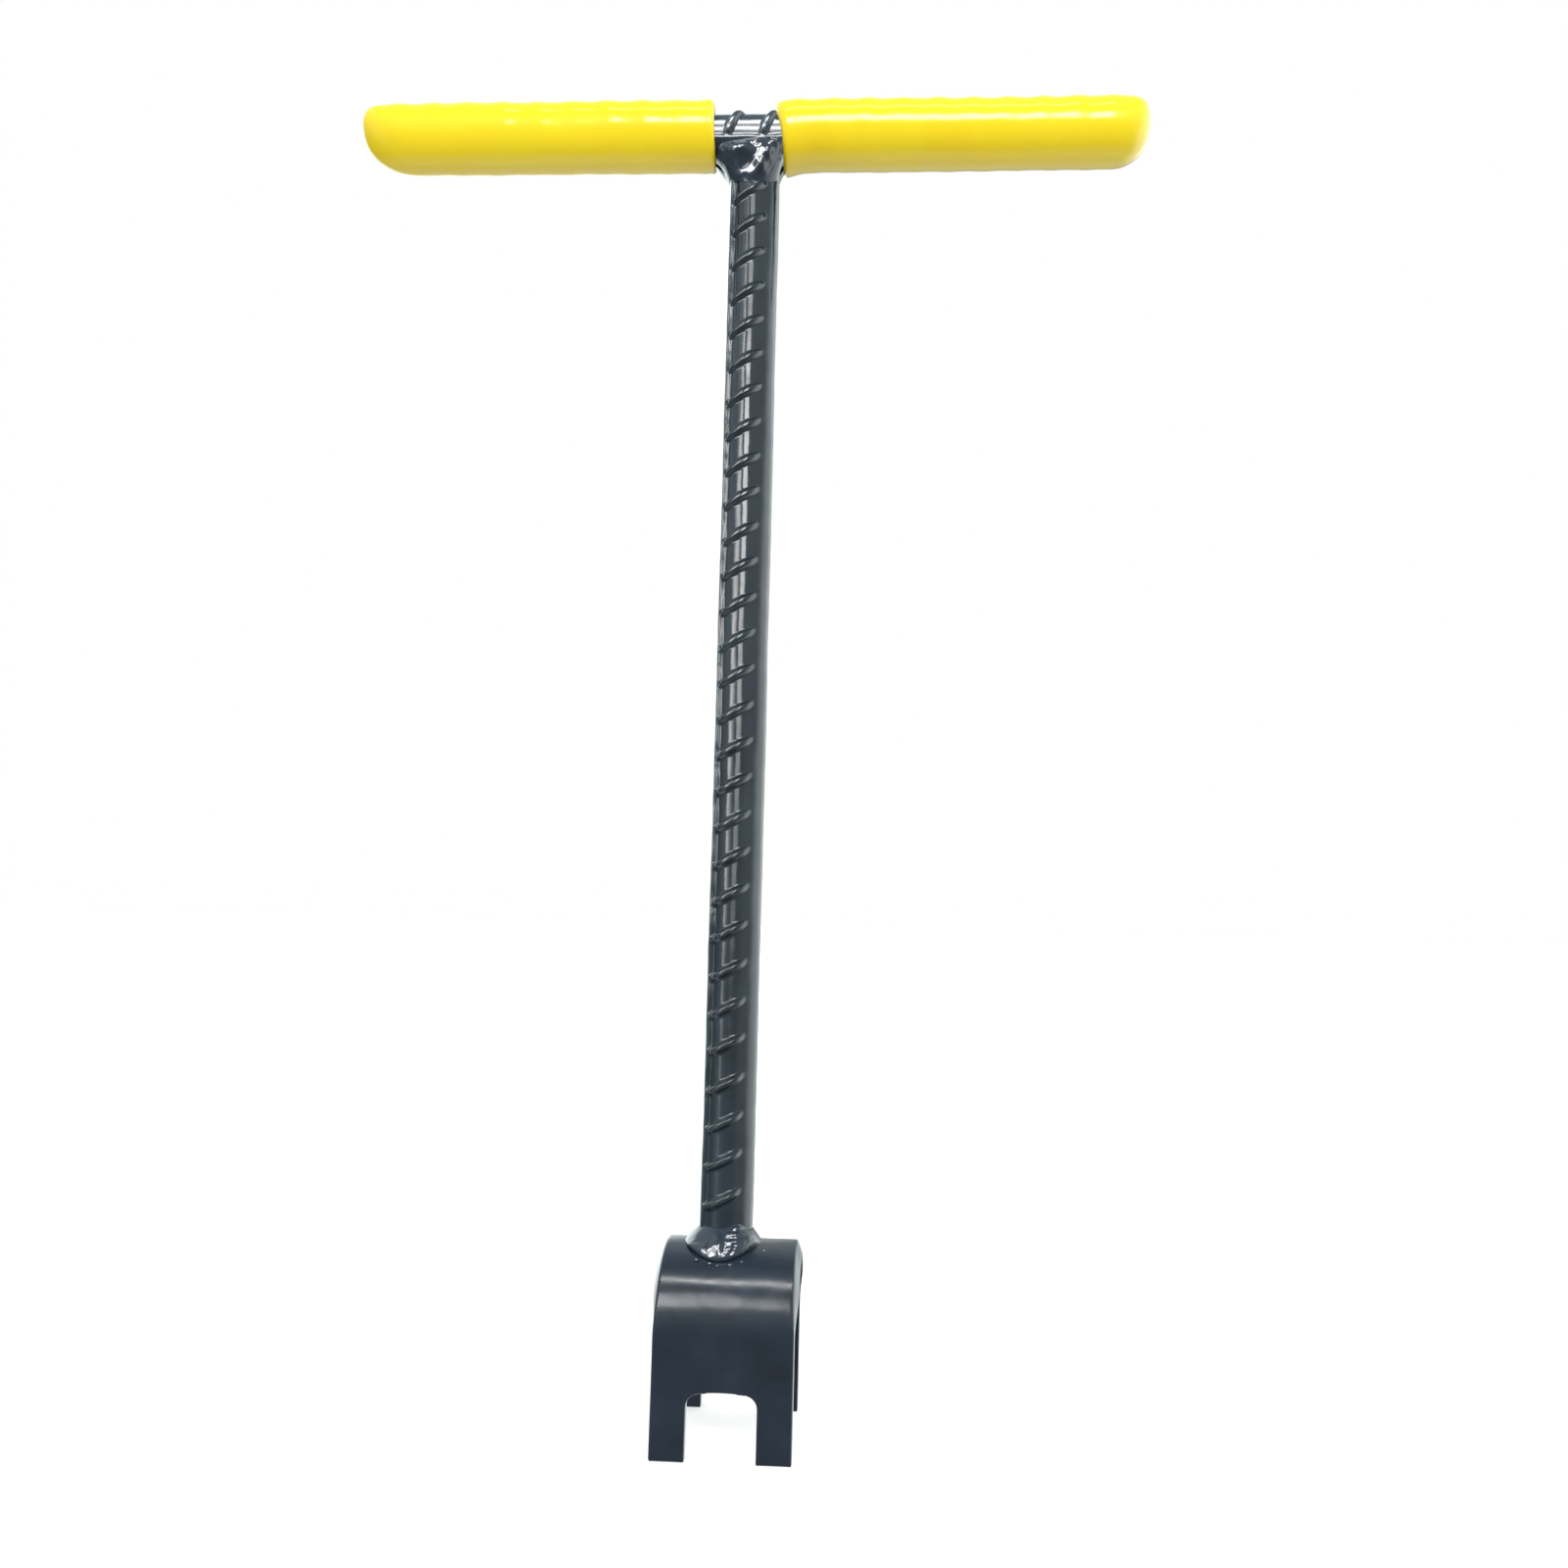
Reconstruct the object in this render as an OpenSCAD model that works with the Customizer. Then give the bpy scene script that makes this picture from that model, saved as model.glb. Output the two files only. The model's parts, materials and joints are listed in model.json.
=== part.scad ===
// T-handle valve and hydrant key, welded from two deformed bars and a bent flat bar.
// The turning axis is +Z, along the shaft. The origin is where it meets the plane that the prongs end on.
// +X runs along the handle to its right end, and -Y is the front. Units are millimetres.

/* [Deformed bar] */
// Diameter of the round core of the bar that the shaft and the handle are cut from
bar_core_d = 9.8; // [9:0.1:10.4]
// Diameter over the bar's ribs
bar_over_d = 12; // [11.6:0.1:12.4]
// Spacing of the crosswise ribs along the bar
rib_pitch = 8.35; // [7:0.05:10]
// Width of a crosswise rib along the bar
rib_w = 1.9; // [1.4:0.1:2.4]
// Lean of the crosswise ribs from square across the bar, in degrees
rib_lean = 32; // [20:1:38]

/* [Handle] */
// Length of the handle over both grips
handle_l = 190.4; // [160:0.1:240]
// Height of the handle's centreline above the prong tips, at the shaft
handle_z = 300.5; // [250:0.5:400]
// Rise of the handle's right end from square, as welded, in degrees
handle_lean = 1.9; // [0:0.1:3]

/* [Grips] */
// Outside diameter of the dipped vinyl grips
grip_d = 16.2; // [15:0.1:18]
// Thickness of vinyl over the handle bar's ends
grip_end_t = 3; // [2:0.5:5]
// Radius of the rounded edge at a grip's closed end
grip_end_r = 5.5; // [4:0.5:7]
// Radius of the small round at a grip's open end
grip_lip_r = 1; // [0.5:0.1:1.5]
// Distance of the left grip's open end from the turning axis
gap_left = 9.8; // [9:0.1:14]
// Distance of the right grip's open end from the turning axis
gap_right = 6.2; // [6:0.1:12]

/* [Fork] */
// Width of the flat bar that the fork is bent from
fork_w = 29.8; // [26:0.1:34]
// Thickness of the flat bar
fork_t = 3; // [3:0.5:4]
// Clear gap between the two legs
fork_gap = 27; // [20:0.5:30]
// Height of the fork's crown above the prong tips
fork_h = 41; // [40:0.5:60]
// Width of the slot in each leg
slot_w = 14.8; // [12:0.1:18]
// Depth of the slot in each leg
slot_h = 13.6; // [10:0.1:18]
// Radius of the slot's two inner corners
slot_r = 2.5; // [1:0.5:4]
// Radius of the prongs' corners
tip_r = 1; // [0.5:0.1:2]
// Turn of the fork from square to the handle, clockwise from above, as welded, in degrees
fork_turn = 2.8; // [0:0.1:5]
// Distance of the fork's middle to the right of the shaft, as welded
fork_shift = 1.4; // [0:0.1:2]

/* [Welds] */
// Height of the fork weld up the shaft from the fork's crown
fork_weld_h = 5.5; // [4:0.5:8]
// Reach of the fork weld's toe from the turning axis
fork_weld_r = 8.6; // [8:0.1:9.5]
// Reach of the handle weld from the turning axis
handle_weld_r = 8.4; // [7.8:0.1:8.8]
// How far the handle weld runs down the shaft, measured from the handle's centreline
handle_weld_h = 14.5; // [12:0.5:16]

/* [Hidden] */
$fn = 96;
PAINT = "#20282d";
VINYL = "#f7df12";
CUT = 0.01;                                       // overlap that keeps a cut clean
FAR = 200;                                        // larger than any piece that is cut
bar_core_r = bar_core_d / 2;
bar_over_r = bar_over_d / 2;
grip_r = grip_d / 2;
fork_r = fork_gap / 2 + fork_t;                   // outer radius of the fork's bend
bend_z = fork_h - fork_r;                         // height where the legs turn into the bend
root_gap = 0.3;                                   // weld-filled gap between the shaft's head and the handle
shaft_head_z = handle_z - bar_over_r - root_gap;
handle_bar_l = handle_l - 2 * grip_end_t;
crescent = 1.2;                                   // offset of a crosswise rib's round, in rib heights
long_rib_root_w = 2.6;
long_rib_crest_w = 1.8;
weld_skirt = 5;                                   // depth to which the fork weld follows the bend down

// Places what is drawn around a handle that lies along X, with its middle at the origin.
module on_handle() {
    translate([0, 0, handle_z]) rotate([0, -handle_lean, 0]) children();
}

// Places what is drawn around a fork that stands square, with its middle over the origin.
module on_fork() {
    translate([fork_shift, 0, 0]) rotate([0, 0, -fork_turn]) children();
}

// Two-dimensional outline of the bar's two lengthwise ribs.
module long_rib_outline() {
    for (side = [0, 180])
        rotate(side)
            polygon([[bar_core_r / 2, -long_rib_root_w / 2], [bar_over_r, -long_rib_crest_w / 2],
                     [bar_over_r, long_rib_crest_w / 2], [bar_core_r / 2, long_rib_root_w / 2]]);
}

// Leaning slabs over a length of bar, one for each crosswise rib.
module rib_slabs(length) {
    margin = bar_core_r * tan(rib_lean) + rib_w;
    count = 2 * floor((length / 2 - margin) / rib_pitch + 0.5);
    for (i = [0.5 : count - 0.5])
        translate([0, 0, length / 2 + (i - count / 2) * rib_pitch])
            rotate([0, -rib_lean, 0])
                cube([4 * bar_core_r, 4 * bar_core_r, rib_w], center = true);
}

// Deformed bar along +Z: round core, lengthwise ribs at +X and -X, crescent ribs facing +Y and -Y.
module bar_stock(length) {
    inset = crescent * (bar_over_r - bar_core_r);
    cylinder(r = bar_core_r, h = length);
    linear_extrude(length) long_rib_outline();
    for (side = [-1, 1])
        intersection() {
            translate([0, side * inset, 0]) cylinder(r = bar_over_r - inset, h = length);
            rib_slabs(length);
        }
}

// The shaft, sawn square at both ends and standing on the fork's crown.
module shaft_bar() {
    color(PAINT)
        translate([0, 0, fork_h])
            bar_stock(shaft_head_z - fork_h);
}

// The handle's bar, with its lengthwise ribs to the front and back.
module handle_bar() {
    color(PAINT)
        on_handle()
            translate([-handle_bar_l / 2, 0, 0])
                rotate([0, 90, 0]) rotate([0, 0, 90])
                    bar_stock(handle_bar_l);
}

// Half of a grip's lengthwise section, from its open end at 0 to its rounded closed end.
module grip_outline(length) {
    translate([0, grip_lip_r]) square([grip_r, length - grip_end_r - grip_lip_r]);
    square([grip_r - grip_lip_r, length]);
    translate([grip_r - grip_lip_r, grip_lip_r]) circle(grip_lip_r);
    translate([grip_r - grip_end_r, length - grip_end_r])
        intersection() {
            circle(grip_end_r);
            square(grip_end_r);
        }
}

// The grip's outline, with the square corner beyond its rounded closed end taken away.
module grip_section(length) {
    difference() {
        grip_outline(length);
        translate([grip_r - grip_end_r, length - grip_end_r])
            difference() {
                square(grip_end_r + CUT);
                circle(grip_end_r);
            }
    }
}

// A dip-moulded grip, which fills the hollows of the bar and laps over the handle weld.
module grip(side, gap) {
    color(VINYL)
        difference() {
            on_handle()
                translate([side * gap, 0, 0])
                    rotate([0, side * 90, 0])
                        rotate_extrude() grip_section(handle_l / 2 - gap);
            handle_bar();
            handle_weld_body();
        }
}

// Front view of the fork's blank in X and Z: a plate with a slot and rounded prong corners.
module fork_front_outline() {
    prong_w = (fork_w - slot_w) / 2;
    difference() {
        translate([-fork_w / 2, tip_r]) square([fork_w, fork_h - tip_r + CUT]);
        translate([-slot_w / 2, 0]) square([slot_w, slot_h - slot_r]);
        translate([-slot_w / 2 + slot_r, 0]) square([slot_w - 2 * slot_r, slot_h]);
        for (side = [-1, 1])
            translate([side * (slot_w / 2 - slot_r), slot_h - slot_r]) circle(slot_r);
    }
    for (side = [-1, 1])
        translate([side * (slot_w + prong_w) / 2, 0]) {
            translate([-prong_w / 2 + tip_r, 0]) square([prong_w - 2 * tip_r, tip_r + CUT]);
            for (edge = [-1, 1])
                translate([edge * (prong_w / 2 - tip_r), tip_r]) circle(tip_r);
        }
}

// Side view of the bent flat bar, in Y and Z.
module fork_side_outline() {
    difference() {
        union() {
            translate([-fork_r, 0]) square([2 * fork_r, bend_z]);
            translate([0, bend_z]) circle(fork_r);
        }
        translate([-fork_gap / 2, -CUT]) square([fork_gap, bend_z + CUT]);
        translate([0, bend_z]) circle(fork_gap / 2);
    }
}

// The fork: one flat bar bent to a U, with a slot through both legs.
module fork() {
    color(PAINT)
        on_fork()
            intersection() {
                rotate([90, 0, 90])
                    linear_extrude(fork_w, center = true) fork_side_outline();
                rotate([90, 0, 0])
                    linear_extrude(FAR, center = true) fork_front_outline();
            }
}

// Half-space in front of (side -1) or behind (side 1) the plane of the handle and shaft.
module half_space(side) {
    translate([-FAR / 2, side < 0 ? -FAR : 0, 0]) cube([FAR, FAR, 2 * FAR]);
}

// Weld metal all round the joint of the shaft and the handle.
module handle_weld_body() {
    toe_r = bar_core_r + 0.5;
    difference() {
        translate([0, 0, handle_z])
            rotate_extrude()
                polygon([[0, -handle_weld_h], [toe_r, -handle_weld_h], [toe_r + 1, 2 - handle_weld_h],
                         [handle_weld_r, -8], [handle_weld_r, -4],
                         [handle_weld_r - 1, -1.2], [handle_weld_r - 2, 0.5], [0, 0.5]]);
        shaft_bar();
        handle_bar();
    }
}

// Weld metal all round the shaft's foot, which follows the fork's bend down at the front and back.
module fork_weld_body() {
    difference() {
        translate([0, 0, fork_h])
            rotate_extrude()
                polygon([[0, -weld_skirt], [fork_weld_r, -weld_skirt], [fork_weld_r, 0.4],
                         [fork_weld_r - 1.8, 1.4], [bar_core_r + 1, 3.4],
                         [bar_core_r + 0.4, fork_weld_h], [0, fork_weld_h]]);
        shaft_bar();
        on_fork()
            translate([0, 0, bend_z]) rotate([0, 90, 0]) cylinder(r = fork_r, h = FAR, center = true);
    }
}

// One weld pass: the front or back half of a weld.
module weld_pass(side) {
    color(PAINT)
        intersection() {
            children();
            half_space(side);
        }
}

shaft_bar();
handle_bar();
grip(-1, gap_left);  // grip_left
grip(1, gap_right);  // grip_right
fork();
weld_pass(-1) handle_weld_body();  // handle_weld_front
weld_pass(1) handle_weld_body();  // handle_weld_back
weld_pass(-1) fork_weld_body();  // fork_weld_front
weld_pass(1) fork_weld_body();  // fork_weld_back
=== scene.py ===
"""Looks of a T-handle hydrant key: two deformed bars, two dipped grips, a slotted fork and four welds."""

import json
import math

import bmesh
import bpy
import numpy as np
from mathutils import Matrix, Vector

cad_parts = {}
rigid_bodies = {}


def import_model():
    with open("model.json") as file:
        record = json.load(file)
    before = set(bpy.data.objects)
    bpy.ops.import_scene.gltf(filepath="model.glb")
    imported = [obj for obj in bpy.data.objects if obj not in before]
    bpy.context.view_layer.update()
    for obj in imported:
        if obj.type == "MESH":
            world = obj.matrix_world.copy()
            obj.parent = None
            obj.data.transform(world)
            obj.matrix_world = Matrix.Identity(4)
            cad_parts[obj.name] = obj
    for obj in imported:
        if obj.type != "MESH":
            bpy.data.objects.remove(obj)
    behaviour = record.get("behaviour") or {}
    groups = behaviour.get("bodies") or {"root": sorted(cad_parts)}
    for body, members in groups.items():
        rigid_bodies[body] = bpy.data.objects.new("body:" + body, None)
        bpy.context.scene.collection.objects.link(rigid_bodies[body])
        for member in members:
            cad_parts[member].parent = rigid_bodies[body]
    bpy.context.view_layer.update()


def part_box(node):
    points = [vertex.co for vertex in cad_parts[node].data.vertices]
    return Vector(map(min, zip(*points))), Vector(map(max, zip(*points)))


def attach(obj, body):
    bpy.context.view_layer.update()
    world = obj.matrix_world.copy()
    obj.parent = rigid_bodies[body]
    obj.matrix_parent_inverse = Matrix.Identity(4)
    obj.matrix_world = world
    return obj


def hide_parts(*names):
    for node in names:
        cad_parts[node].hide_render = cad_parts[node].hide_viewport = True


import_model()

# Sizes and places are in millimetres until a mesh is made.
MM = 0.001

# The key as welded, square but for these three errors of the hand.
HANDLE_LEAN = math.radians(1.9)
FORK_TURN = math.radians(-2.8)
FORK_SHIFT = 1.4

# The shaft and the handle are cut from the same deformed bar.
BAR_CORE_R = 4.9
BAR_OVER_R = 6.0
RIB_PITCH = 8.35
# How far a crosswise rib climbs along the bar in a quarter turn.
RIB_RISE = 2.85
# A crosswise rib is highest this far round from the middle of its side of the bar.
CRESCENT_TURN = math.radians(20.0)
SHAFT_RIB_PHASE = 1.5
HANDLE_RIB_X = 3.9
# The handle bar lies with its front lengthwise rib turned down.
HANDLE_ROLL = math.radians(54.0)

# The fork is a flat bar, FORK_T thick and FORK_W wide, bent to an outer radius of FORK_R.
FORK_T = 3.0
FORK_W = 29.8
FORK_R = 16.5
SLOT_W = 14.8
SLOT_H = 13.6


def mm_box(node):
    """The lowest and highest corners of a CAD node, in millimetres."""
    low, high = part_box(node)
    return np.array(low) / MM, np.array(high) / MM


SHAFT_FOOT, SHAFT_HEAD = mm_box("shaft_bar")[0][2], mm_box("shaft_bar")[1][2]
HANDLE_Z = sum(mm_box("handle_bar"))[2] / 2
HANDLE_BAR_L = (mm_box("handle_bar")[1] - mm_box("handle_bar")[0])[0] / math.cos(HANDLE_LEAN)
GRIP_END = mm_box("grip_right")[1][0] / math.cos(HANDLE_LEAN)
GRIP_R = (mm_box("grip_left")[1] - mm_box("grip_left")[0])[1] / 2
FORK_H = mm_box("fork")[1][2]
BEND_Z = FORK_H - FORK_R


# ---------------------------------------------------------------------------------------------- mesh helpers


def smooth_step(value):
    """0 below 0, 1 above 1 and an S-curve between."""
    value = np.clip(value, 0.0, 1.0)
    return value * value * (3.0 - 2.0 * value)


def wander(points, scale, seed, waves=14):
    """Smooth noise of about -1 to 1 at points, with bumps about scale millimetres apart."""
    rng = np.random.default_rng(seed)
    total = np.zeros(points.shape[:-1])
    for _ in range(waves):
        heading = rng.normal(size=3)
        heading /= np.linalg.norm(heading)
        wavelength = scale * rng.uniform(1.2, 2.6)
        total += np.sin(points @ heading * (math.tau / wavelength) + rng.uniform(0, math.tau))
    return total / math.sqrt(waves)


def placed(points, matrix):
    """points, an array of xyz in millimetres, moved by a 4 by 4 matrix in millimetres."""
    m = np.array(matrix)
    return points @ m[:3, :3].T + m[:3, 3]


ON_HANDLE = Matrix.Translation((0, 0, HANDLE_Z)) @ Matrix.Rotation(-HANDLE_LEAN, 4, "Y")
ON_FORK = Matrix.Translation((FORK_SHIFT, 0, 0)) @ Matrix.Rotation(FORK_TURN, 4, "Z")


def add_piece(name, verts, faces, material, slot, nodes):
    """Makes a smooth-shaded piece from millimetre points, on the only body, in place of its CAD nodes."""
    mesh = bpy.data.meshes.new(name)
    mesh.from_pydata((np.asarray(verts) * MM).tolist(), [], faces)
    mesh.validate()
    mesh.polygons.foreach_set("use_smooth", [True] * len(mesh.polygons))
    mesh.materials.append(material)
    obj = bpy.data.objects.new(name, mesh)
    bpy.context.scene.collection.objects.link(obj)
    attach(obj, "root")
    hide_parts(*nodes)
    return obj


def tube_faces(rows, around):
    """Quads between rings of points, and a fan of triangles over each end.

    The middles of the first and the last ring follow the rings' own points.
    """
    faces = []
    for i in range(rows - 1):
        for j in range(around):
            k = (j + 1) % around
            faces.append((i * around + j, i * around + k, (i + 1) * around + k, (i + 1) * around + j))
    first_middle = rows * around
    last_row = (rows - 1) * around
    for j in range(around):
        k = (j + 1) % around
        faces.append((k, j, first_middle))
        faces.append((last_row + j, last_row + k, first_middle + 1))
    return faces


def closed_tube(rings):
    """Points and faces of a closed tube through rings, an array of ring, point, xyz."""
    rows, around = rings.shape[:2]
    middles = np.stack([rings[0].mean(0), rings[-1].mean(0)])
    return np.concatenate([rings.reshape(-1, 3), middles]), tube_faces(rows, around)


# ------------------------------------------------------------------------------------------------- materials


def node_material(name):
    """A new material, its node tree and its Principled shader."""
    material = bpy.data.materials.new(name)
    material.use_nodes = True
    tree = material.node_tree
    return material, tree, tree.nodes["Principled BSDF"]


def noise(tree, scale, detail=3.0, roughness=0.5):
    """A noise texture in object space. scale is in features per metre."""
    coords = tree.nodes.new("ShaderNodeTexCoord")
    texture = tree.nodes.new("ShaderNodeTexNoise")
    texture.inputs["Scale"].default_value = scale
    texture.inputs["Detail"].default_value = detail
    texture.inputs["Roughness"].default_value = roughness
    tree.links.new(coords.outputs["Object"], texture.inputs["Vector"])
    return texture.outputs["Fac"]


def ramp(tree, value, stops):
    """A colour ramp over value. stops are (position, rgb)."""
    node = tree.nodes.new("ShaderNodeValToRGB")
    elements = node.color_ramp.elements
    for element, (position, rgb) in zip([elements[0], elements[1]], [stops[0], stops[-1]]):
        element.position = position
        element.color = (*rgb, 1.0)
    for position, rgb in stops[1:-1]:
        elements.new(position).color = (*rgb, 1.0)
    tree.links.new(value, node.inputs["Fac"])
    return node.outputs["Color"]


def remap(tree, value, low, high):
    """value, from 0.3 to 0.7, mapped to low to high."""
    node = tree.nodes.new("ShaderNodeMapRange")
    node.inputs["From Min"].default_value = 0.3
    node.inputs["From Max"].default_value = 0.7
    node.inputs["To Min"].default_value = low
    node.inputs["To Max"].default_value = high
    tree.links.new(value, node.inputs["Value"])
    return node.outputs["Result"]


def add_bump(tree, shader, layers):
    """Chains bump nodes into the shader. layers are (height, strength, distance in metres)."""
    normal = None
    for height, strength, distance in layers:
        node = tree.nodes.new("ShaderNodeBump")
        node.inputs["Strength"].default_value = strength
        node.inputs["Distance"].default_value = distance
        tree.links.new(height, node.inputs["Height"])
        if normal is not None:
            tree.links.new(normal, node.inputs["Normal"])
        normal = node.outputs["Normal"]
    tree.links.new(normal, shader.inputs["Normal"])


def enamel(name, base, gloss_low, gloss_high, peel):
    """Black-blue enamel of colour base, with roughness from gloss_low to gloss_high and a bump of peel."""
    material, tree, shader = node_material(name)
    shares = ((0.3, 0.7), (0.5, 1.0), (0.72, 1.35))
    shades = [(position, tuple(share * c for c in base)) for position, share in shares]
    tree.links.new(ramp(tree, noise(tree, 90.0, 4.0), shades), shader.inputs["Base Color"])
    tree.links.new(remap(tree, noise(tree, 260.0, 5.0), gloss_low, gloss_high), shader.inputs["Roughness"])
    shader.inputs["IOR"].default_value = 1.5
    add_bump(
        tree,
        shader,
        [(noise(tree, 420.0, 2.0), peel, 0.00012), (noise(tree, 2600.0, 3.0), 0.10, 0.00002)],
    )
    return material


def vinyl():
    """Glossy yellow dip-moulded vinyl."""
    material, tree, shader = node_material("yellow_vinyl")
    tint = ramp(
        tree,
        noise(tree, 45.0, 4.0),
        [(0.30, (0.92, 0.680, 0.0060)), (0.50, (0.93, 0.710, 0.0065)), (0.72, (0.93, 0.735, 0.0080))],
    )
    tree.links.new(tint, shader.inputs["Base Color"])
    tree.links.new(remap(tree, noise(tree, 150.0, 4.0), 0.13, 0.20), shader.inputs["Roughness"])
    shader.inputs["IOR"].default_value = 1.5
    shader.inputs["Subsurface Weight"].default_value = 0.12
    shader.inputs["Subsurface Radius"].default_value = (1.0, 0.6, 0.1)
    shader.inputs["Subsurface Scale"].default_value = 0.0012
    add_bump(
        tree,
        shader,
        [(noise(tree, 120.0, 2.0), 0.10, 0.0004), (noise(tree, 1800.0, 2.0), 0.05, 0.00003)],
    )
    return material


# The two bars are in one paint, as two materials, so that the lights for the joints can miss the shaft.
BAR_PAINT = ((0.0095, 0.0155, 0.0205), 0.11, 0.19, 0.16)
BAR_ENAMEL = enamel("bar_enamel", *BAR_PAINT)
CROSSPIECE_ENAMEL = enamel("crosspiece_enamel", *BAR_PAINT)
WELD_ENAMEL = enamel("weld_enamel", (0.0075, 0.0120, 0.0170), 0.09, 0.16, 0.25)
FORK_ENAMEL = enamel("fork_enamel", (0.0115, 0.0195, 0.0315), 0.17, 0.25, 0.16)
VINYL = vinyl()


# ------------------------------------------------------------------------------------------------------ bars


def bar_angles(count):
    """Angles round a bar from its front, closer together beside the lengthwise ribs at its two sides."""
    even = np.arange(count) * math.tau / count
    return even + 0.25 * np.sin(2.0 * even)


def bar_stations(length, phase):
    """Heights of the rings along a bar, close together over each crosswise rib."""
    half = np.array([0.0, 0.2, 0.4, 0.58, 0.76, 0.94, 1.15, 1.4, 1.7, 2.0])
    over_rib = np.concatenate([-half[:0:-1], half])
    between = np.linspace(half[-1], RIB_PITCH - half[-1], 8)[1:-1]
    one_pitch = np.concatenate([over_rib, between])
    first = math.floor(-phase / RIB_PITCH) - 1
    last = math.ceil((length - phase) / RIB_PITCH) + 1
    stations = np.concatenate([one_pitch + phase + i * RIB_PITCH for i in range(first, last + 1)])
    margin = 0.15
    inside = stations[(stations > margin) & (stations < length - margin)]
    return np.concatenate([[0.0], inside, [length]])


def rib_climb(fold):
    """How far up the bar a rib has climbed at an angle from its front or back."""
    return RIB_RISE * (0.8 * np.sin(fold) + 0.4 * fold / math.pi)


def crosswise_rib(along, fold, phase, seed):
    """Height, from 0 to 1, of the crescents at a place along the bar and an angle from its front or back."""
    turn = (along - rib_climb(fold) - phase) / RIB_PITCH
    index = np.round(turn).astype(int)
    count = 200
    rng = np.random.default_rng(seed)
    shift = rng.uniform(-0.15, 0.15, count)
    strength = rng.uniform(0.85, 1.0, count)
    offset = (turn - index) * RIB_PITCH - shift[index % count]
    facing = np.clip(np.cos(fold + CRESCENT_TURN), 0.0, 1.0)
    root = 0.50 + 0.95 * facing
    crest = 0.12 + 0.20 * facing
    flank = smooth_step((root - np.abs(offset)) / (root - crest))
    fade = 0.12 * facing**0.3 + 0.88 * smooth_step((facing - 0.50) / 0.45)
    return flank * fade * strength[index % count]


def end_rounding(stations, length, end_r):
    """Share of the full radius left by a bar's ends, which are rounded over their last end_r."""
    inset = np.clip(np.minimum(stations, length - stations) / end_r, 0.0, 1.0)
    return 0.25 + 0.75 * np.sqrt(1.0 - (1.0 - inset) ** 2)


def bar_rings(length, phase, end_r, seed):
    """Rings of a deformed bar along +Z: crescents to its front and back, lengthwise ribs to its sides."""
    angles = bar_angles(120)
    fold = np.arcsin(np.sin(angles))[None, :]
    stations = bar_stations(length, phase)[:, None]
    # Rings climb with the ribs, but lie square across the bar at its two ends.
    square_end = 9.0
    off_end = smooth_step(stations / square_end) * smooth_step((length - stations) / square_end)
    along = stations + off_end * rib_climb(fold)
    rib_h = BAR_OVER_R - BAR_CORE_R
    rib = 0.97 * rib_h * crosswise_rib(along, fold, phase, seed)
    flat = np.stack(np.broadcast_arrays(0.0 * along, np.sign(fold), along), -1)
    beside = BAR_CORE_R * (math.pi / 2 - np.abs(fold)) + 0.10 * wander(flat, 5.0, seed + 1)
    # The lengthwise rib on the right has a broad, soft flank, and the one on the left stands up sharply.
    right = np.sin(angles) > 0.0
    width = np.where(right, 5.4, 2.6)
    flank = np.where(right, 5.2, 0.55)
    long_rib = rib_h * smooth_step((width - beside) / flank) * (1.0 + 0.03 * wander(flat, 9.0, seed + 2))
    radius = BAR_CORE_R + np.minimum((rib**3 + long_rib**3) ** (1.0 / 3.0), rib_h)
    points = np.stack(
        [radius * np.sin(angles), -radius * np.cos(angles), np.broadcast_to(along, radius.shape)], -1
    )
    unevenness = 0.035 * wander(points, 14.0, seed + 3) + 0.015 * wander(points, 2.6, seed + 4)
    scale = (1.0 + unevenness / BAR_CORE_R) * end_rounding(stations, length, end_r)
    points[..., :2] *= scale[..., None]
    return points


def add_shaft():
    rings = bar_rings(SHAFT_HEAD - SHAFT_FOOT, SHAFT_RIB_PHASE, end_r=0.8, seed=11)
    rings[..., 2] += SHAFT_FOOT
    add_piece("shaft", *closed_tube(rings), BAR_ENAMEL, "enamel", ["shaft_bar"])


def add_handle_bar():
    rings = bar_rings(HANDLE_BAR_L, HANDLE_BAR_L / 2 + HANDLE_RIB_X, end_r=6.0, seed=23)
    rings[..., 2] -= HANDLE_BAR_L / 2
    lying = rings[..., [2, 0, 1]]
    rolled = ON_HANDLE @ Matrix.Rotation(HANDLE_ROLL, 4, "X")
    add_piece("crosspiece", *closed_tube(placed(lying, rolled)), CROSSPIECE_ENAMEL, "enamel", ["handle_bar"])


# ----------------------------------------------------------------------------------------------------- grips


def telegraph(points, seed):
    """Swell of the vinyl, in millimetres, where it follows the handle bar's crescents."""
    height = 0.34
    half_width = 2.0
    count = 64
    climb = RIB_RISE * points[..., 1] / GRIP_R
    turn = (points[..., 0] - climb - HANDLE_RIB_X) / RIB_PITCH
    index = np.round(turn).astype(int)
    offset = (turn - index) * RIB_PITCH
    strength = np.random.default_rng(seed).uniform(0.55, 1.15, count)[index % count]
    facing = 0.3 + 0.7 * np.clip(points[..., 2] / GRIP_R, 0.0, 1.0)
    return height * strength * facing * (np.exp(-((offset / half_width) ** 2)) - 0.55)


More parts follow.
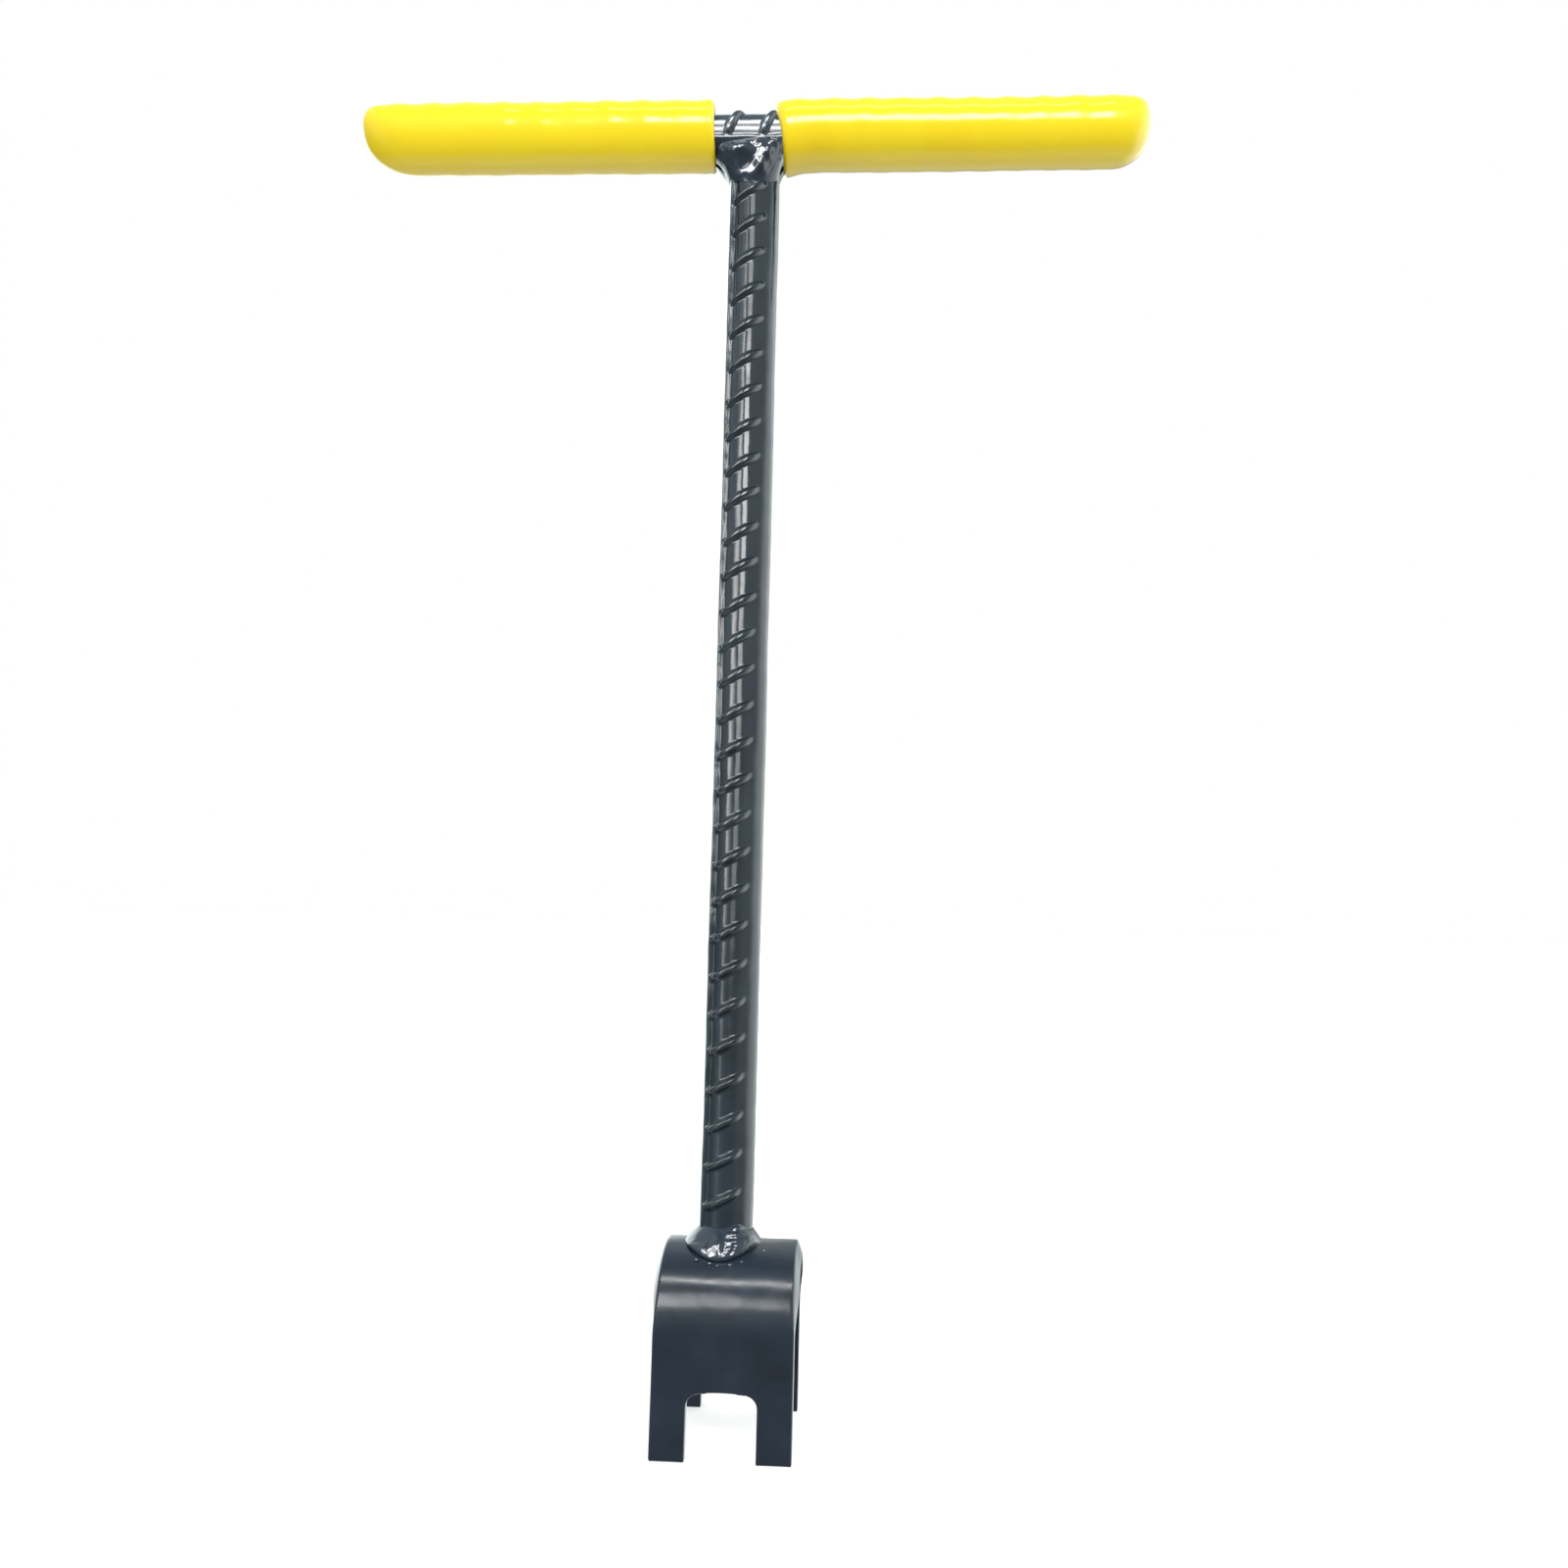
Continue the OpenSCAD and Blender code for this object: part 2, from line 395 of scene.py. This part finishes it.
def grip_rings(gap, dome_top, dome_low, square_top, square_low, tip_rise, lip, flare, slant):
    """Rings of a grip along +X, whose open end is gap from the middle of the handle.

    The dome over the tip has one length and squareness at the top and another at the bottom, and its
    tip is raised by tip_rise. lip rounds the rim of the open end, flare widens it below, and slant
    moves its top along and its bottom back.
    """
    around = 128
    angles = np.arange(around) * math.tau / around
    up = np.cos(angles)
    low_share = smooth_step(0.5 - 0.62 * up)
    dome = dome_top + (dome_low - dome_top) * low_share
    power = square_top + (square_low - square_top) * low_share
    total = GRIP_END - gap
    rows = []
    # The open end starts inside the bar and comes out as a flat face.
    for along, radius in [(3.0, 4.5), (0.5, 4.8), (0.0, 6.0), (0.0, GRIP_R - lip - 0.8)]:
        rows.append((along + 0.0 * up, radius + 0.0 * up, 0.0 * up))
    for turn in np.linspace(0.0, math.pi / 2, 9):
        lip_here = lip * (1.0 + 0.9 * (1.0 - low_share))
        rows.append((lip_here * (1.0 - math.cos(turn)), GRIP_R - lip_here * (1.0 - math.sin(turn)), 0.0 * up))
    body = np.linspace(0.0, 1.0, 170)[1:]
    start = rows[-1][0]
    for share in body:
        rows.append((start + (total - dome - start) * share, GRIP_R + 0.0 * up, 0.0 * up))
    for turn in np.linspace(0.0, math.pi / 2, 30)[1:-1]:
        along = total - dome + dome * math.sin(turn) ** (2.0 / power)
        radius = GRIP_R * math.cos(turn) ** (2.0 / power)
        rows.append((along, radius, tip_rise * (1.0 - math.cos(turn)) + 0.0 * up))
    along = np.array([row[0] for row in rows])
    radius = np.array([row[1] for row in rows])
    rise = np.array([row[2] for row in rows])
    near_open = np.exp(-((along / 4.5) ** 2))
    radius = radius * (1.0 + flare * near_open * low_share / GRIP_R)
    along = along + slant * near_open * (1.0 - 2.0 * low_share)
    side = radius * np.sin(angles)
    high = radius * up + rise
    return np.stack([along + gap, -side, high], -1)


def swell_grip(rings, seed):
    """Adds the ribs' telegraphing and the slow unevenness of a dipped coat to a grip's rings."""
    radial = rings * np.array([0.0, 1.0, 1.0])
    reach = np.linalg.norm(radial, axis=-1, keepdims=True)
    share = np.clip(reach[..., 0] / GRIP_R, 0.0, 1.0) ** 3
    swell = telegraph(rings, seed)
    swell = swell + 0.07 * wander(rings, 22.0, seed + 1)
    swell = swell + 0.03 * wander(rings, 7.0, seed + 2)
    swell_max = 0.16
    swell = np.minimum(swell, swell_max)
    return rings + radial / np.maximum(reach, 0.01) * (swell * share)[..., None]


def add_grip(name, node, verts, faces):
    """A grip. Its yellow is kept out of the paint's mirror-like shine, where the photo shows none."""
    grip = add_piece(name, verts, faces, VINYL, "grip_vinyl", [node])
    grip.visible_glossy = False


def add_grips():
    left = grip_rings(
        gap=9.8,
        dome_top=6.0,
        dome_low=12.5,
        square_top=2.25,
        square_low=2.1,
        tip_rise=2.0,
        lip=0.75,
        flare=0.0,
        slant=0.0,
    )
    left = swell_grip(left, 41) * np.array([-1.0, 1.0, 1.0])
    verts, faces = closed_tube(placed(left, ON_HANDLE))
    add_grip("grip_l", "grip_left", verts, [face[::-1] for face in faces])
    right = grip_rings(
        gap=5.6,
        dome_top=7.0,
        dome_low=9.5,
        square_top=2.7,
        square_low=2.3,
        tip_rise=1.0,
        lip=1.3,
        flare=1.1,
        slant=-0.8,
    )
    right = swell_grip(right, 53)
    add_grip("grip_r", "grip_right", *closed_tube(placed(right, ON_HANDLE)))


# ------------------------------------------------------------------------------------------------------ fork


def extruded(outline, depth, swap):
    """A temporary prism object: a 2D outline, extruded by depth about 0.

    swap gives X, Y and Z in turn: 0 and 1 are the outline's own axes, and 2 is the depth.
    """
    count = len(outline)
    verts = [(p[0], p[1], side * depth / 2) for side in (-1, 1) for p in outline]
    faces = [tuple(range(count))[::-1], tuple(range(count, 2 * count))]
    faces += [(i, (i + 1) % count, count + (i + 1) % count, count + i) for i in range(count)]
    mesh = bpy.data.meshes.new("prism")
    mesh.from_pydata([[v[k] for k in swap] for v in verts], [], faces)
    bm = bmesh.new()
    bm.from_mesh(mesh)
    bmesh.ops.recalc_face_normals(bm, faces=bm.faces)
    bm.to_mesh(mesh)
    bm.free()
    obj = bpy.data.objects.new("prism", mesh)
    bpy.context.scene.collection.objects.link(obj)
    return obj


def arc(centre, radius, start, end, steps):
    """Points on an arc, from start to end in degrees."""
    turns = np.radians(np.linspace(start, end, steps))
    return [(centre[0] + radius * math.cos(t), centre[1] + radius * math.sin(t)) for t in turns]


def fork_side_outline():
    """The bent flat bar seen along its width: Y and Z."""
    inner_r = FORK_R - FORK_T
    outer = arc((0, BEND_Z), FORK_R, 180, 0, 97)
    inner = arc((0, BEND_Z), inner_r, 0, 180, 97)
    return [(-FORK_R, 0.0)] + outer + [(FORK_R, 0.0), (inner_r, 0.0)] + inner + [(-inner_r, 0.0)]


def slot_outline():
    """The slot cut in each leg, X and Z: two round corners and a slightly arched top."""
    half = SLOT_W / 2
    corner = 2.6
    top = SLOT_H
    below = -5.0
    arch_h = 0.35
    arch_half = 4.8
    roof = [(x, top + arch_h * (1.0 - (x / arch_half) ** 2)) for x in np.linspace(4.0, -4.0, 9)]
    return (
        [(-half, below), (half, below)]
        + arc((half - corner, top - corner), corner, 0, 80, 10)
        + roof
        + arc((corner - half, top - corner), corner, 100, 180, 10)
    )


def cut(obj, cutter):
    """Takes cutter away from obj, and removes cutter."""
    modifier = obj.modifiers.new("cut", "BOOLEAN")
    modifier.object = cutter
    modifier.operation = "DIFFERENCE"
    modifier.solver = "EXACT"
    bake(obj)
    bpy.data.objects.remove(cutter)


def bake(obj):
    """Replaces obj's mesh with the result of its modifiers."""
    graph = bpy.context.evaluated_depsgraph_get()
    mesh = bpy.data.meshes.new_from_object(obj.evaluated_get(graph))
    obj.modifiers.clear()
    obj.data = mesh


def remeshed(obj, voxel, rounds):
    """Points and faces of obj after an even remesh and some smoothing, which round its edges. Removes obj."""
    remesh = obj.modifiers.new("even", "REMESH")
    remesh.mode = "VOXEL"
    remesh.voxel_size = voxel
    soften = obj.modifiers.new("soften", "SMOOTH")
    soften.factor = 0.5
    soften.iterations = rounds
    bake(obj)
    verts = np.array([v.co for v in obj.data.vertices])
    faces = [tuple(p.vertices) for p in obj.data.polygons]
    bpy.data.objects.remove(obj)
    return verts, faces


def bend_spread(verts):
    """Moves the bend's edges out on its inside and in on its outside, as bending does to a flat bar."""
    above = np.clip((verts[:, 2] - BEND_Z) / FORK_R, 0.0, 1.0)
    reach = np.hypot(verts[:, 1], np.maximum(verts[:, 2] - BEND_Z, 0.0))
    depth = np.clip((FORK_R - reach) / FORK_T, 0.0, 1.0)
    amount = smooth_step(above / 0.55) * (depth * 1.3 - 0.5)
    edge = smooth_step((np.abs(verts[:, 0]) - FORK_W / 2 + 5.0) / 5.0)
    moved = verts.copy()
    moved[:, 0] += np.sign(verts[:, 0]) * amount * edge
    return moved


def add_fork():
    fork = extruded(fork_side_outline(), depth=FORK_W, swap=(2, 0, 1))
    cut(fork, extruded(slot_outline(), depth=60.0, swap=(0, 2, 1)))
    verts, faces = remeshed(fork, voxel=0.30, rounds=2)
    verts = bend_spread(verts)
    wave = 0.10 * wander(verts, 16.0, 71) + 0.03 * wander(verts, 5.0, 72)
    verts[:, 1] += wave * smooth_step((np.abs(verts[:, 1]) - 8.0) / 4.0)
    verts[:, 2] += wave * smooth_step((verts[:, 2] - BEND_Z - 8.0) / 5.0)
    add_piece("fork_plate", placed(verts, ON_FORK), faces, FORK_ENAMEL, "enamel", ["fork"])


# ----------------------------------------------------------------------------------------------------- welds


def lump_field(places, lumps):
    """Sum of smooth lumps at places, an array of xyz. Each lump is (centre, its three radii, height)."""
    total = np.zeros(places.shape[:-1])
    for centre, radii, height in lumps:
        distance = np.linalg.norm((places - np.array(centre)) / np.array(radii), axis=-1)
        total += height * np.exp(-(distance**2))
    return total


def weld_detail(surface, angles, share, arch, lumps, ripple, seed):
    """Height of a pass's lumps, ripples and roughness over its smooth surface. Its two ends dip."""
    run = angles[:, None] * 7.0 + 1.8 * (2.0 * share[None, :] - 1.0) ** 2
    wave = np.sin(run * math.tau / 1.5 + 1.5 * wander(surface, 4.0, seed))
    rough = ripple * wave + 0.16 * wander(surface, 3.0, seed + 1) + 0.06 * wander(surface, 1.3, seed + 2)
    calm = 1.0 - 0.9 * np.abs(np.cos(angles[:, None])) ** 1.5
    detail = lump_field(surface, lumps) * np.minimum(1.0, 2.5 * arch) + rough * arch * calm
    dip = 0.4
    dip_reach = 0.12
    run_out = smooth_step((angles - angles[0]) / dip_reach) * smooth_step((angles[-1] - angles) / dip_reach)
    return detail - dip * (1.0 - run_out[:, None]) * arch


def weld_rings(start, end, foot, head, bulge, blend, lumps, ripple, seed):
    """Rings of a weld pass round the shaft, from angle start to end in degrees, where -90 is the front.

    foot(angle) and head(angle) give its two edges, and bulge(angle) how far it stands out between them.
    blend is how softly it runs out at its foot and at its head: below 1 is blunt, above 1 is feathered.
    Each ring closes through the inside of the shaft.
    """
    angles = np.radians(np.linspace(start, end, 180))
    share = np.linspace(0.0, 1.0, 52)
    low = np.array([foot(a) for a in angles])
    high = np.array([head(a) for a in angles])
    swell = np.array([bulge(a) for a in angles])
    outward = np.stack([np.cos(angles), np.sin(angles), 0.0 * angles], -1)
    chord = high - low
    chord_dir = chord / np.linalg.norm(chord, axis=1, keepdims=True)
    stand = outward - chord_dir * (outward * chord_dir).sum(1, keepdims=True)
    stand /= np.linalg.norm(stand, axis=1, keepdims=True)
    arch = share ** blend[0] * (1.0 - share) ** blend[1]
    arch /= arch.max()
    surface = low[:, None] + chord[:, None] * share[:, None]
    surface = surface + stand[:, None] * (swell[:, None] * arch)[..., None]
    detail = weld_detail(surface, angles, share, arch, lumps, ripple, seed)
    surface = surface + stand[:, None] * detail[..., None]
    inside = np.stack([high, low], 1)
    inside[:, :, :2] *= 0.55
    return np.concatenate([surface, inside], axis=1)


def spatter_balls(places, seed):
    """Points and faces of small flat balls of weld spatter, each at one of places."""
    rng = np.random.default_rng(seed)
    verts = []
    faces = []
    for place in places:
        ball = bmesh.new()
        bmesh.ops.create_icosphere(ball, subdivisions=2, radius=rng.uniform(0.28, 0.5))
        first = len(verts)
        verts += [np.array(v.co) * (1.2, 0.8, 1.0) + place for v in ball.verts]
        faces += [tuple(first + v.index for v in face.verts) for face in ball.faces]
        ball.free()
    return verts, faces


def add_weld(name, node, rings, spatter=(), seed=0):
    verts, faces = closed_tube(rings)
    more_verts, more_faces = spatter_balls(spatter, seed)
    faces += [tuple(len(verts) + index for index in face) for face in more_faces]
    if more_verts:
        verts = np.concatenate([verts, more_verts])
    add_piece(name, verts, faces, WELD_ENAMEL, "enamel", [node])


def sideness(angle):
    """How far an angle round the shaft is from the front or the back, from 0 to 1, and its side, -1 or 1."""
    return abs(math.cos(angle)), math.copysign(1.0, math.cos(angle))


def handle_weld_foot(angle):
    """Lower edge of the handle weld, on the shaft."""
    side, _ = sideness(angle)
    radius = 4.9 + 0.9 * side**4
    drop = 14.3 - 0.9 * side**2 + 0.3 * math.sin(3.0 * angle)
    return (radius * math.cos(angle), radius * math.sin(angle), HANDLE_Z - drop)


def handle_weld_head(angle):
    """Upper edge of the handle weld: along the face of the handle bar, and under it by the grips."""
    side, sign = sideness(angle)
    reach = 9.9 if sign < 0 else 7.4
    x = sign * reach * math.sin(side**0.9 * math.pi / 2)
    below = math.radians(36.0 - 8.0 * x / 9.0)
    under = below + (math.pi / 2 - below) * max((side - 0.5) / 0.5, 0.0) ** 2
    radius = BAR_CORE_R + 0.5 + (1.6 if sign < 0 else 2.4) * smooth_step((side - 0.5) / 0.5)
    y = math.copysign(radius * math.cos(under), math.sin(angle))
    return (x, y, HANDLE_Z - radius * math.sin(under) + x * math.tan(HANDLE_LEAN))


def handle_weld_bulge(angle):
    """Full at the front and back, hollow at the sides."""
    side, _ = sideness(angle)
    return 2.5 - 3.3 * side**2


def fork_weld_foot(angle):
    """Lower edge of the fork weld, on the bend. It reaches furthest at the left."""
    radius = 8.5 - 0.7 * math.cos(angle) + 0.3 * math.sin(3.0 * angle + 0.6)
    x = radius * math.cos(angle)
    y = radius * math.sin(angle)
    return (x, y, BEND_Z + math.sqrt(FORK_R**2 - y * y) - 0.2)


def fork_weld_head(angle):
    """Upper edge of the fork weld, on the shaft. It is highest at the front right."""
    side, _ = sideness(angle)
    radius = 4.95 + 0.75 * side**4
    climb = 3.3 - 0.2 * math.cos(angle) + 1.2 * math.exp(-(((math.degrees(angle) + 60.0) / 24.0) ** 2))
    return (radius * math.cos(angle), radius * math.sin(angle), FORK_H + climb)


def fork_weld_bulge(angle):
    """A little full at the front and back, hollow at the sides."""
    side, _ = sideness(angle)
    return 1.2 - 1.2 * side**2


# Where the front and the back pass of a weld start and end, in degrees. They overlap at the sides.
FRONT_PASS = (-184, 4)
BACK_PASS = (-4, 184)


def add_handle_weld():
    shape = (handle_weld_foot, handle_weld_head, handle_weld_bulge, (1.3, 0.6))
    lobes = [
        ((-4.0, -7.6, HANDLE_Z - 7.4), (2.6, 4.0, 1.9), 1.7),
        ((3.0, -7.6, HANDLE_Z - 8.2), (1.5, 4.0, 1.7), 1.2),
        ((1.5, -7.0, HANDLE_Z - 11.0), (1.2, 4.0, 1.4), 1.0),
        ((-0.2, -6.2, HANDLE_Z - 13.0), (1.1, 4.0, 1.1), 0.6),
        ((-1.6, -7.4, HANDLE_Z - 10.6), (1.5, 4.0, 1.5), -0.6),
        ((4.4, -6.2, HANDLE_Z - 5.4), (1.4, 4.0, 0.9), 0.6),
        ((0.2, -6.6, HANDLE_Z - 5.4), (1.1, 4.0, 0.6), 0.4),
        ((-3.2, -6.4, HANDLE_Z - 12.6), (1.4, 4.0, 0.7), 0.35),
    ]
    front = weld_rings(*FRONT_PASS, *shape, lobes, ripple=0.03, seed=81)
    add_weld("head_weld_front", "handle_weld_front", front)
    lobes = [
        ((-3.0, 8.0, HANDLE_Z - 4.2), (2.8, 3.0, 2.2), 0.7),
        ((3.6, 8.0, HANDLE_Z - 4.0), (2.2, 3.0, 2.0), 0.7),
        ((0.6, 7.4, HANDLE_Z - 7.5), (1.8, 3.0, 1.8), 0.6),
    ]
    back = weld_rings(*BACK_PASS, *shape, lobes, ripple=0.09, seed=83)
    add_weld("head_weld_back", "handle_weld_back", back)


def add_fork_weld():
    shape = (fork_weld_foot, fork_weld_head, fork_weld_bulge, (0.5, 1.2))
    # Five thin coins, one below the other, run down the front of the bead.
    places = [(2.5 - 0.35 * i, -5.4 - 0.55 * i, FORK_H + 3.7 - 1.25 * i) for i in range(5)]
    coins = [(place, (1.5, 1.5, 0.42), 0.45) for place in places]
    lobes = coins + [
        ((5.4, -5.4, FORK_H + 1.0), (2.0, 4.0, 2.2), 0.8),
        ((-6.8, -4.8, FORK_H - 0.5), (2.8, 4.0, 0.9), 0.7),
        ((-3.8, -6.2, FORK_H + 1.2), (2.0, 4.0, 1.2), -0.35),
        ((-1.4, -6.8, FORK_H + 0.6), (1.0, 4.0, 1.2), 0.45),
    ]
    front = weld_rings(*FRONT_PASS, *shape, lobes, ripple=0.03, seed=87)
    bend = [(-1.3, -9.8), (-2.9, -9.4), (1.4, -9.6), (3.9, -8.8), (-5.8, -8.6), (8.6, -5.6)]
    spatter = [(x, y, BEND_Z + math.sqrt(FORK_R**2 - y * y)) for x, y in bend]
    add_weld("foot_weld_front", "fork_weld_front", front, spatter, seed=91)
    lobes = [((-4.0, 6.8, FORK_H), (2.2, 3.0, 1.6), 0.7), ((3.0, 7.0, FORK_H + 0.6), (2.0, 3.0, 1.8), 0.7)]
    back = weld_rings(*BACK_PASS, *shape, lobes, ripple=0.09, seed=89)
    add_weld("foot_weld_back", "fork_weld_back", back)


# ------------------------------------------------------------------------------------------- stage and light


def add_floor():
    """A pale, softly glowing light table. It shows to the camera only, and doesn't light the key."""
    material, _, shader = node_material("floor")
    shader.inputs["Base Color"].default_value = (0.86, 0.86, 0.86, 1.0)
    shader.inputs["Roughness"].default_value = 0.9
    shader.inputs["Emission Color"].default_value = (1.0, 1.0, 1.0, 1.0)
    shader.inputs["Emission Strength"].default_value = 0.46
    mesh = bpy.data.meshes.new("floor")
    far = 12.0
    mesh.from_pydata([(-far, -far, 0), (far, -far, 0), (far, far, 0), (-far, far, 0)], [], [(0, 1, 2, 3)])
    mesh.materials.append(material)
    floor = bpy.data.objects.new("floor", mesh)
    floor.visible_glossy = False
    floor.visible_diffuse = False
    bpy.context.scene.collection.objects.link(floor)


def add_area_light(name, group, place, turn, width, height, radiance):
    """A rectangular light that falls on a group of objects only. Its sizes and place are in metres."""
    light = bpy.data.lights.new(name, "AREA")
    light.shape = "RECTANGLE"
    light.size = width
    light.size_y = height
    light.energy = radiance * math.pi * width * height
    obj = bpy.data.objects.new(name, light)
    obj.location = place
    obj.rotation_euler = turn.to_euler()
    obj.light_linking.receiver_collection = group
    bpy.context.scene.collection.objects.link(obj)


def add_softbox(name, group, azimuth, low, high, width, radiance):
    """An upright light, 0.9 m from the shaft. Azimuth 0 is in front of the key, in degrees to its right."""
    distance = 0.90
    around = math.radians(azimuth)
    place = Vector((distance * math.sin(around), -distance * math.cos(around), (low + high) / 2))
    turn = Vector((-place.x, -place.y, 0.0)).to_track_quat("-Z", "Z")
    add_area_light(name, group, place, turn, width, high - low, radiance)


def add_strip(name, group, place, aim, length, width, radiance):
    """A strip light along X, hung at place and turned to aim."""
    turn = (Vector(aim) - Vector(place)).to_track_quat("-Z", "Y")
    add_area_light(name, group, place, turn, length, width, radiance)


def lit_group(name, materials):
    """A collection of the objects in these materials, for lights that only they see."""
    group = bpy.data.collections.new(name)
    for obj in bpy.context.scene.objects:
        if obj.type == "MESH" and obj.data.materials[0] in materials:
            group.objects.link(obj)
    return group


def add_lights():
    """Studio lights: for vinyl and floor, for all bars and welds, for the joints, and for the fork."""
    pale = lit_group("pale", [VINYL, bpy.data.materials["floor"]])
    bars = lit_group("bars", [BAR_ENAMEL, CROSSPIECE_ENAMEL, WELD_ENAMEL])
    joints = lit_group("joints", [CROSSPIECE_ENAMEL, WELD_ENAMEL])
    fork = lit_group("fork", [FORK_ENAMEL])
    add_softbox("key", pale, 5.6, 0.58, 0.90, 0.44, 15.0)
    add_strip("overhead", pale, (0.05, -0.42, 1.35), (0.05, 0.0, 0.3), 0.60, 0.10, 6.0)
    # Two columns of boxes, brightest above the key's own height, shade the bars' long highlights.
    steps = (0.06, 0.12, 0.20, 0.30, 0.40, 0.52, 0.66, 0.95)
    columns = (
        ("front", -6.0, 0.36, (1.5, 3.5, 4.5, 7.5, 13.0, 15.0, 5.0)),
        ("side", -44.0, 0.66, (1.2, 2.5, 5.0, 9.5, 11.0, 5.0, 0.8)),
    )
    for name, azimuth, width, radiances in columns:
        for low, high, radiance in zip(steps[:-1], steps[1:], radiances):
            add_softbox(name, bars, azimuth, low, high, width, radiance)
    add_strip("weld_key", joints, (0.0, -0.74, 1.15), (0.0, 0.0, 0.29), 0.50, 0.46, 22.0)
    add_softbox("weld_side", joints, -42.0, 0.46, 1.20, 0.48, 20.0)
    add_softbox("weld_front", joints, 0.0, 0.36, 0.66, 0.30, 14.0)
    add_strip("high_strip", fork, (0.0, -0.53, 1.29), (0.0, 0.0, 0.03), 1.2, 0.06, 34.0)
    add_softbox("low_box", fork, -20.0, 0.44, 0.88, 0.40, 8.5)


def sky_lobe(tree, direction, outer, inner, depth):
    """A patch of sky about direction. It starts where the cosine is outer, and reaches depth at inner."""
    coords = tree.nodes.new("ShaderNodeTexCoord")
    dot = tree.nodes.new("ShaderNodeVectorMath")
    dot.operation = "DOT_PRODUCT"
    dot.inputs[1].default_value = Vector(direction).normalized()
    tree.links.new(coords.outputs["Generated"], dot.inputs[0])
    fall = tree.nodes.new("ShaderNodeMapRange")
    fall.interpolation_type = "SMOOTHSTEP"
    fall.inputs["From Min"].default_value = outer
    fall.inputs["From Max"].default_value = inner
    fall.inputs["To Min"].default_value = 0.0
    fall.inputs["To Max"].default_value = depth
    tree.links.new(dot.outputs["Value"], fall.inputs["Value"])
    return fall.outputs["Result"]


def sky_strength(tree, base, lobes):
    """A sky of strength base with lobes, each (direction, outer, inner, depth), and never quite black."""
    darkest = 0.15
    total = None
    for lobe in lobes:
        node = tree.nodes.new("ShaderNodeMath")
        node.operation = "ADD"
        node.inputs[0].default_value = base
        if total is not None:
            tree.links.new(total, node.inputs[0])
        tree.links.new(sky_lobe(tree, *lobe), node.inputs[1])
        total = node.outputs["Value"]
    limit = tree.nodes.new("ShaderNodeMath")
    limit.operation = "MAXIMUM"
    limit.inputs[1].default_value = darkest
    tree.links.new(total, limit.inputs[0])
    return limit.outputs["Value"]


def white_background(tree):
    node = tree.nodes.new("ShaderNodeBackground")
    node.inputs["Color"].default_value = (1.0, 1.0, 1.0, 1.0)
    return node


def switched(tree, switch, usual, other):
    """The usual shader, or the other one for the rays that switch picks."""
    node = tree.nodes.new("ShaderNodeMixShader")
    tree.links.new(switch, node.inputs["Fac"])
    tree.links.new(usual, node.inputs[1])
    tree.links.new(other, node.inputs[2])
    return node.outputs["Shader"]


def add_world():
    """White to the camera, an even soft sky to matt surfaces, and a room of light and dark to glossy ones."""
    world = bpy.data.worlds.new("sky")
    bpy.context.scene.world = world
    world.use_nodes = True
    tree = world.node_tree
    room = tree.nodes["Background"]
    room.inputs["Color"].default_value = (0.92, 1.0, 1.02, 1.0)
    lobes = [
        ((0.0, 0.6, -0.8), 0.5, 0.9, 0.9),
        ((0.0, 1.0, 0.0), 0.70, 0.97, -0.35),
        ((0.0, -0.2, 1.0), 0.70, 0.95, -0.5),
        ((0.0, -0.75, -0.66), 0.45, 0.90, -0.60),
        ((-0.80, 0.40, -0.45), 0.60, 0.92, -0.70),
        ((0.95, 0.31, 0.05), 0.60, 0.93, 2.4),
        ((-0.50, 0.84, 0.22), 0.84, 0.96, 2.4),
    ]
    tree.links.new(sky_strength(tree, 0.95, lobes), room.inputs["Strength"])
    even = white_background(tree)
    from_above = [((0.0, 0.0, 1.0), 0.0, 0.7, 0.25)]
    tree.links.new(sky_strength(tree, 0.74, from_above), even.inputs["Strength"])
    white = white_background(tree)
    rays = tree.nodes.new("ShaderNodeLightPath").outputs
    lit = switched(tree, rays["Is Diffuse Ray"], room.outputs["Background"], even.outputs["Background"])
    seen = switched(tree, rays["Is Camera Ray"], lit, white.outputs["Background"])
    tree.links.new(seen, tree.nodes["World Output"].inputs["Surface"])


def add_camera():
    """The photo's viewpoint. The camera's place is in metres, and its sensor and lens in millimetres."""
    camera = bpy.data.cameras.new("camera")
    camera.sensor_width = 36.0
    camera.lens = 29.25
    camera.clip_start = 0.01
    obj = bpy.data.objects.new("camera", camera)
    forward = Vector((-0.0062, 0.9948, 0.1015)).normalized()
    right = forward.cross(Vector((-0.0231, -0.1016, 0.9946))).normalized()
    up = right.cross(forward)
    turn = Matrix((right, up, -forward)).transposed()
    obj.matrix_world = Matrix.Translation((0.0123, -0.2916, 0.1131)) @ turn.to_4x4()
    bpy.context.scene.collection.objects.link(obj)
    bpy.context.scene.camera = obj


add_shaft()
add_handle_bar()
add_grips()
add_fork()
add_handle_weld()
add_fork_weld()
add_floor()
add_lights()
add_world()
add_camera()
bpy.context.scene.view_settings.view_transform = "Standard"
